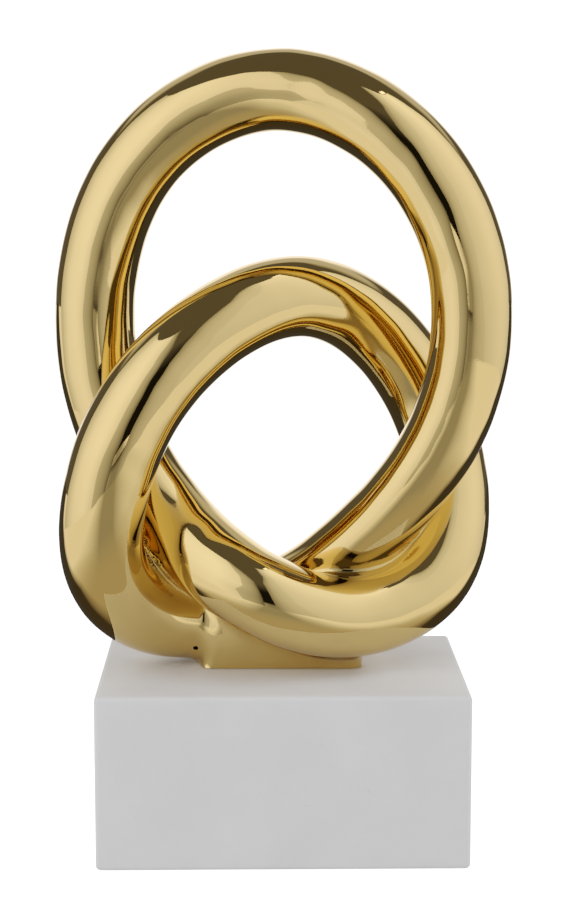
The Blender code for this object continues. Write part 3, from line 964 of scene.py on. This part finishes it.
def tent_wall(name, rows, near, far, rises=40, steps=60):
    """A curved glowing wall seen only in reflections.

    It stands on a circle round the object, at azimuth a and height h in the place
    (cx + R sin a, cy - R cos a, h).  Its edges and its joint wander with the height,
    and on both sides of the joint the brightness follows its own short profile.
    """
    height, first, joint, last, gain = np.array(rows).T
    level = np.linspace(height[0], height[-1], rises)
    first, joint, last, gain = (np.interp(level, height, column)[:, None]
                                for column in (first, joint, last, gain))
    share = np.linspace(0.0, 1.0, steps)[None, :]
    azimuth = np.hstack((first + (joint - first) * share, joint + (last - joint) * share))
    bright = np.hstack([
        LIGHT * gain * np.interp(share, np.linspace(0.0, 1.0, len(profile)), profile)
        for profile in (near, far)])
    turn = np.radians(azimuth)
    points = np.stack((TENT_CENTER[0] + TENT_RADIUS * np.sin(turn),
                       TENT_CENTER[1] - TENT_RADIUS * np.cos(turn),
                       np.broadcast_to(level[:, None], turn.shape)), axis=-1)
    across = 2 * steps
    index = np.arange(rises * across).reshape(rises, across)
    faces = np.stack((index[:-1, :-1], index[:-1, 1:], index[1:, 1:], index[1:, :-1]),
                     axis=-1).reshape(-1, 4)
    made = mesh_object(name, points.reshape(-1, 3), faces)
    attribute = made.data.attributes.new("glow", "FLOAT", "POINT")
    attribute.data.foreach_set("value", bright.reshape(-1).astype(np.float32))
    made.visible_camera = False
    made.data.materials.append(glow_material)
    return made


def make_glow():
    """An emission as strong as the surface's "glow" says."""
    made = bpy.data.materials.new("tent_glow")
    made.use_nodes = True
    tree = made.node_tree
    tree.nodes.clear()
    glow = tree.nodes.new("ShaderNodeEmission")
    amount = tree.nodes.new("ShaderNodeAttribute")
    amount.attribute_name = "glow"
    tree.links.new(amount.outputs["Fac"], glow.inputs["Strength"])
    out = tree.nodes.new("ShaderNodeOutputMaterial")
    tree.links.new(glow.outputs[0], out.inputs["Surface"])
    return made


def math_node(tree, operation, *values):
    """One Math node; each value is a number or a socket."""
    made = tree.nodes.new("ShaderNodeMath")
    made.operation = operation
    for slot, value in zip(made.inputs, values):
        if isinstance(value, float):
            slot.default_value = value
        else:
            tree.links.new(value, slot)
    return made.outputs[0]


def back_and_aside(tree, output):
    """A coordinate's parts, |x|, and inward = y - slant * |x|."""
    place = tree.nodes.new("ShaderNodeTexCoord")
    split = tree.nodes.new("ShaderNodeSeparateXYZ")
    tree.links.new(place.outputs[output], split.inputs[0])
    aside = math_node(tree, "ABSOLUTE", split.outputs["X"])
    slanted = math_node(tree, "MULTIPLY", aside, SHEET_SLANT)
    return split, aside, math_node(tree, "SUBTRACT", split.outputs["Y"], slanted)


def make_world():
    """White to the camera; to everything else a dim room with a white sheet behind.

    The sheet is where a direction goes back more than it goes sideways, and low down.
    Above it and beside it hangs a grey one, and the room is darkest straight in front.
    """
    world = bpy.data.worlds.new("studio")
    bpy.context.scene.world = world
    world.use_nodes = True
    tree = world.node_tree
    room = tree.nodes["Background"]
    split, _aside, inward = back_and_aside(tree, "Generated")
    back, up = split.outputs["Y"], split.outputs["Z"]
    white = math_node(tree, "MULTIPLY", span(tree, inward, *WHITE_RIM, 0.0, WHITE_SHEET),
                      span(tree, up, *WHITE_TOP))
    grey = math_node(tree, "MULTIPLY", span(tree, back, *GREY_RIM),
                     math_node(tree, "MULTIPLY", span(tree, up, *GREY_FOOT),
                               span(tree, up, *GREY_TOP, 0.0, GREY_SHEET)))
    front = span(tree, back, *FRONT_RIM, FRONT_ROOM, DIM_ROOM)
    strength = math_node(tree, "ADD", math_node(tree, "ADD", white, grey), front)
    tree.links.new(strength, room.inputs["Strength"])
    room.inputs["Color"].default_value = ROOM_COLOR
    blank = tree.nodes.new("ShaderNodeBackground")
    blank.inputs["Color"].default_value = (1.0, 1.0, 1.0, 1.0)
    blank.inputs["Strength"].default_value = 1.5 * PRINT_WHITE
    path = tree.nodes.new("ShaderNodeLightPath")
    mix = tree.nodes.new("ShaderNodeMixShader")
    tree.links.new(path.outputs["Is Camera Ray"], mix.inputs["Fac"])
    tree.links.new(room.outputs[0], mix.inputs[1])
    tree.links.new(blank.outputs[0], mix.inputs[2])
    tree.links.new(mix.outputs[0], tree.nodes["World Output"].inputs["Surface"])


def make_floor():
    """A wide pale floor: near white to the camera, and a dim table to reflections.

    What the polished metal sees of it is painted light: lit in front of the object,
    brighter to both sides, dark behind, and white again where the sheet comes down far
    behind.  Near the object the painted light is warmer, as if bounced off the gold.
    """
    ring = FLOOR_REACH * np.array(((-1.0, -1.0, 0.0), (1.0, -1.0, 0.0), (1.0, 1.0, 0.0),
                                   (-1.0, 1.0, 0.0)))
    floor = mesh_object("floor", ring, [(0, 1, 2, 3)])
    paper = bpy.data.materials.new("paper")
    paper.use_nodes = True
    tree = paper.node_tree
    shader = tree.nodes["Principled BSDF"]
    shader.inputs["Base Color"].default_value = (0.85, 0.85, 0.85, 1.0)
    shader.inputs["Roughness"].default_value = 0.9
    out = tree.nodes["Material Output"]
    split, aside, inward = back_and_aside(tree, "Object")
    back = split.outputs["Y"]
    beyond = math_node(tree, "MAXIMUM",
                       math_node(tree, "SUBTRACT", aside, TABLE_HALF), 0.0)
    edge = math_node(tree, "SUBTRACT", back,
                     math_node(tree, "MULTIPLY", beyond, TABLE_SLANT))
    away = math_node(tree, "SQRT", math_node(
        tree, "ADD", math_node(tree, "MULTIPLY", aside, aside),
        math_node(tree, "MULTIPLY", back, back)))
    ahead = span(tree, aside, *TABLE_ASIDE, TABLE_AHEAD, TABLE_SIDES)
    lit = math_node(tree, "MULTIPLY", span(tree, edge, *TABLE_EDGE),
                    span(tree, away, *TABLE_NEAR, TABLE_UNDER, ahead))
    strength = math_node(tree, "ADD", lit,
                         span(tree, inward, *SHEET_FOOT, TABLE_BEHIND, WHITE_SHEET))
    table = tree.nodes.new("ShaderNodeEmission")
    tree.links.new(strength, table.inputs["Strength"])
    # Painted warm light: near the object the table keeps less green and blue, as if lit by
    # light bounced off the gold.
    bounce_tint = tree.nodes.new("ShaderNodeCombineColor")
    bounce_tint.inputs["Red"].default_value = 1.0
    for channel, bounce_kept in (("Green", WARM_BOUNCE_GREEN), ("Blue", WARM_BOUNCE_BLUE)):
        tree.links.new(span(tree, away, *TABLE_NEAR, *bounce_kept), bounce_tint.inputs[channel])
    tree.links.new(bounce_tint.outputs["Color"], table.inputs["Color"])
    glow = tree.nodes.new("ShaderNodeEmission")
    glow.inputs["Strength"].default_value = PRINT_WHITE
    added = tree.nodes.new("ShaderNodeAddShader")
    tree.links.new(shader.outputs[0], added.inputs[0])
    tree.links.new(glow.outputs[0], added.inputs[1])
    path = tree.nodes.new("ShaderNodeLightPath")
    below = shader
    for ray, seen in (("Is Glossy Ray", table), ("Is Camera Ray", added)):
        mix = tree.nodes.new("ShaderNodeMixShader")
        tree.links.new(path.outputs[ray], mix.inputs["Fac"])
        tree.links.new(below.outputs[0], mix.inputs[1])
        tree.links.new(seen.outputs[0], mix.inputs[2])
        below = mix
    tree.links.new(below.outputs[0], out.inputs["Surface"])
    floor.data.materials.append(paper)


def make_top_light():
    """A wide soft light overhead; its power is radiance * pi * area."""
    lamp = bpy.data.lights.new("top_light", "AREA")
    lamp.size = TOP_LIGHT_SIZE
    lamp.energy = TOP_LIGHT_RADIANCE * math.pi * TOP_LIGHT_SIZE ** 2
    made = bpy.data.objects.new("top_light", lamp)
    bpy.context.collection.objects.link(made)
    made.location = TOP_LIGHT_PLACE
    made.visible_camera = False
    made.visible_glossy = False


def film_curve():
    """A print's highlights: what is brighter than about 0.33 is gently held back."""
    view = bpy.context.scene.view_settings
    view.view_transform = "Standard"
    view.use_curve_mapping = True
    view.curve_mapping.white_level = (PRINT_WHITE, PRINT_WHITE, PRINT_WHITE)
    shared = view.curve_mapping.curves[3]
    for scene_value, print_value in ((0.33, 0.33), (0.93, 0.64), (1.33, 0.80)):
        shared.points.new(scene_value / PRINT_WHITE, print_value)
    view.curve_mapping.update()


glow_material = make_glow()
tent_wall("left_wall", LEFT_ROWS, LEFT_NEAR, LEFT_FAR)
tent_wall("right_wall", RIGHT_ROWS, RIGHT_NEAR, RIGHT_FAR)
tent_wall("sill", SILL_ROWS, SILL_NEAR, SILL_FAR)
tent_wall("lamp", LAMP_ROWS, LAMP, LAMP)
make_world()
make_floor()
make_top_light()
film_curve()
